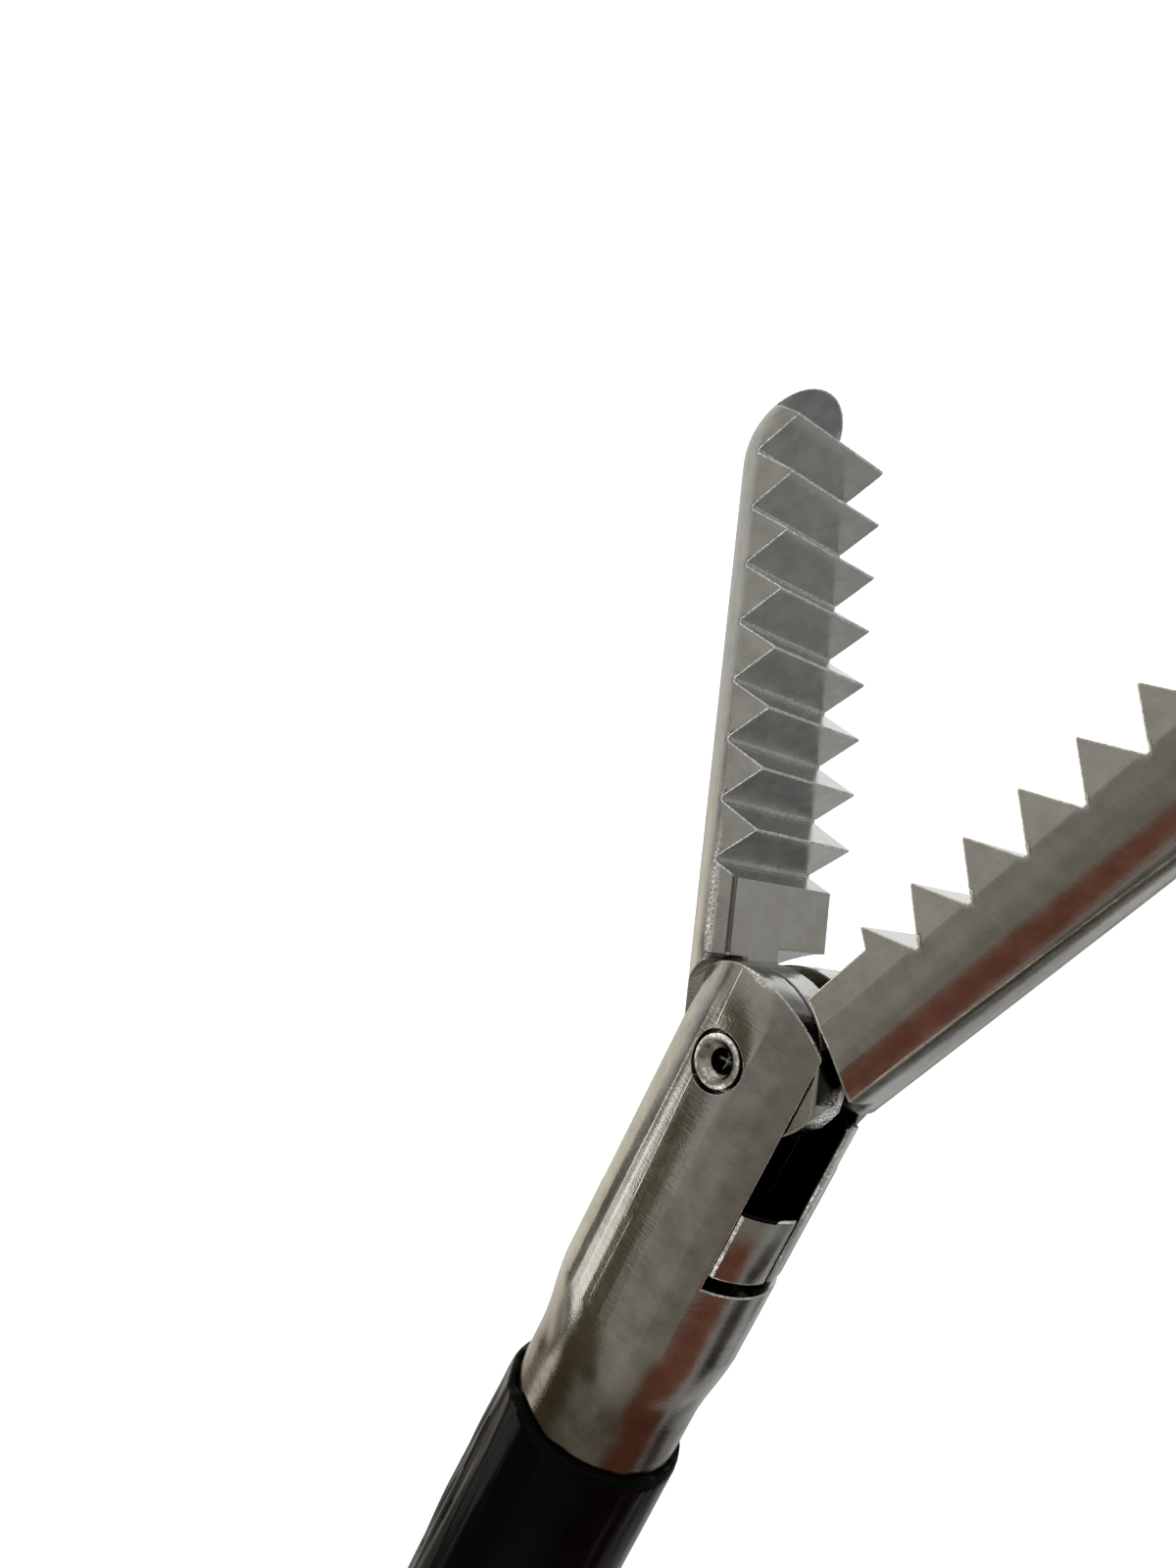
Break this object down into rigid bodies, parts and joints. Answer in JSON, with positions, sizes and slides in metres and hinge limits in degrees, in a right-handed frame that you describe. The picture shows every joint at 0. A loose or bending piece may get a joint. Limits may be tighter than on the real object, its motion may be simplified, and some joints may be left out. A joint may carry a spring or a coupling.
{
  "type": "laparoscopic grasper",
  "caption": "Slim surgical grasper with toothed double action jaws, insulated shaft, rotation knob and ring handle.",
  "frame": {"origin": "on the shaft's axis at the front face of the rotation knob", "axes": "+X along the shaft towards the jaws, +Z along the jaw pivot, rings towards -Y; it lies on its side"},
  "size_m": [0.4576, 0.1041, 0.0184],
  "materials": {
    "jaw_steel": "brushed stainless steel, edges bright from use",
    "bright_steel": "polished stainless steel",
    "tube_steel": "ground stainless steel",
    "sleeve_black": "glossy black shrink sleeve, slightly wrinkled",
    "white_bush": "low friction plastic",
    "seal_rubber": "matt",
    "hub_aluminium": "turned",
    "handle_plastic": "finely grained",
    "knob_plastic": "finely grained",
    "post_steel": "polished"
  },
  "bodies": {
    "handle": {"handle_upper_half": "handle_plastic", "handle_lower_half": "handle_plastic", "housing_screws": "bright_steel", "connector_post": "post_steel", "lever_screw": "bright_steel", "lever_nut": "bright_steel"},
    "lever": {"thumb_lever": "handle_plastic", "lever_fork": "tube_steel", "lever_bush": "white_bush"},
    "shaft": {"clevis": "jaw_steel", "pivot_rivet": "bright_steel", "outer_tube": "tube_steel", "insulation_sleeve": "sleeve_black", "front_rod_bush": "white_bush", "rear_rod_bush": "white_bush", "knob_hub": "hub_aluminium", "friction_ring": "seal_rubber", "rod_seal": "seal_rubber", "rotation_knob": "knob_plastic", "flush_port": "tube_steel", "port_cap": "seal_rubber"},
    "rod": {"push_rod": "bright_steel", "rod_ball": "bright_steel", "drive_block": "jaw_steel", "drive_pin_left": "bright_steel", "drive_pin_right": "bright_steel"},
    "left_jaw": {"jaw_left": "jaw_steel"},
    "right_jaw": {"jaw_right": "jaw_steel"}
  },
  "joints": [
    {"name": "lever_hinge", "type": "hinge", "parent": "handle", "child": "lever", "pos_m": [-0.066, 0.005, 0], "axis": [0, 0, 1], "range_deg": [-3.44, 9.03]},
    {"name": "shaft_rotation", "type": "hinge", "parent": "handle", "child": "shaft", "pos_m": [0, 0, 0], "axis": [1, 0, 0], "continuous": true},
    {"name": "rod_slide", "type": "slide", "parent": "shaft", "child": "rod", "axis": [1, 0, 0], "range_m": [-0.00031, 0.00079]},
    {"name": "left_jaw_hinge", "type": "hinge", "parent": "shaft", "child": "left_jaw", "pos_m": [0.312, 0, 0], "axis": [0, 0, 1], "range_deg": [-24.91, 9.5]},
    {"name": "right_jaw_hinge", "type": "hinge", "parent": "shaft", "child": "right_jaw", "pos_m": [0.312, 0, 0], "axis": [0, 0, 1], "range_deg": [-8.24, 21.61]}
  ],
  "couplings": [
    {"joint": "rod_slide", "follows": "lever_hinge", "m_per_rad": 0.005},
    {"joint": "left_jaw_hinge", "follows": "lever_hinge", "ratio": -2.7575},
    {"joint": "right_jaw_hinge", "follows": "lever_hinge", "ratio": 2.392}
  ]
}
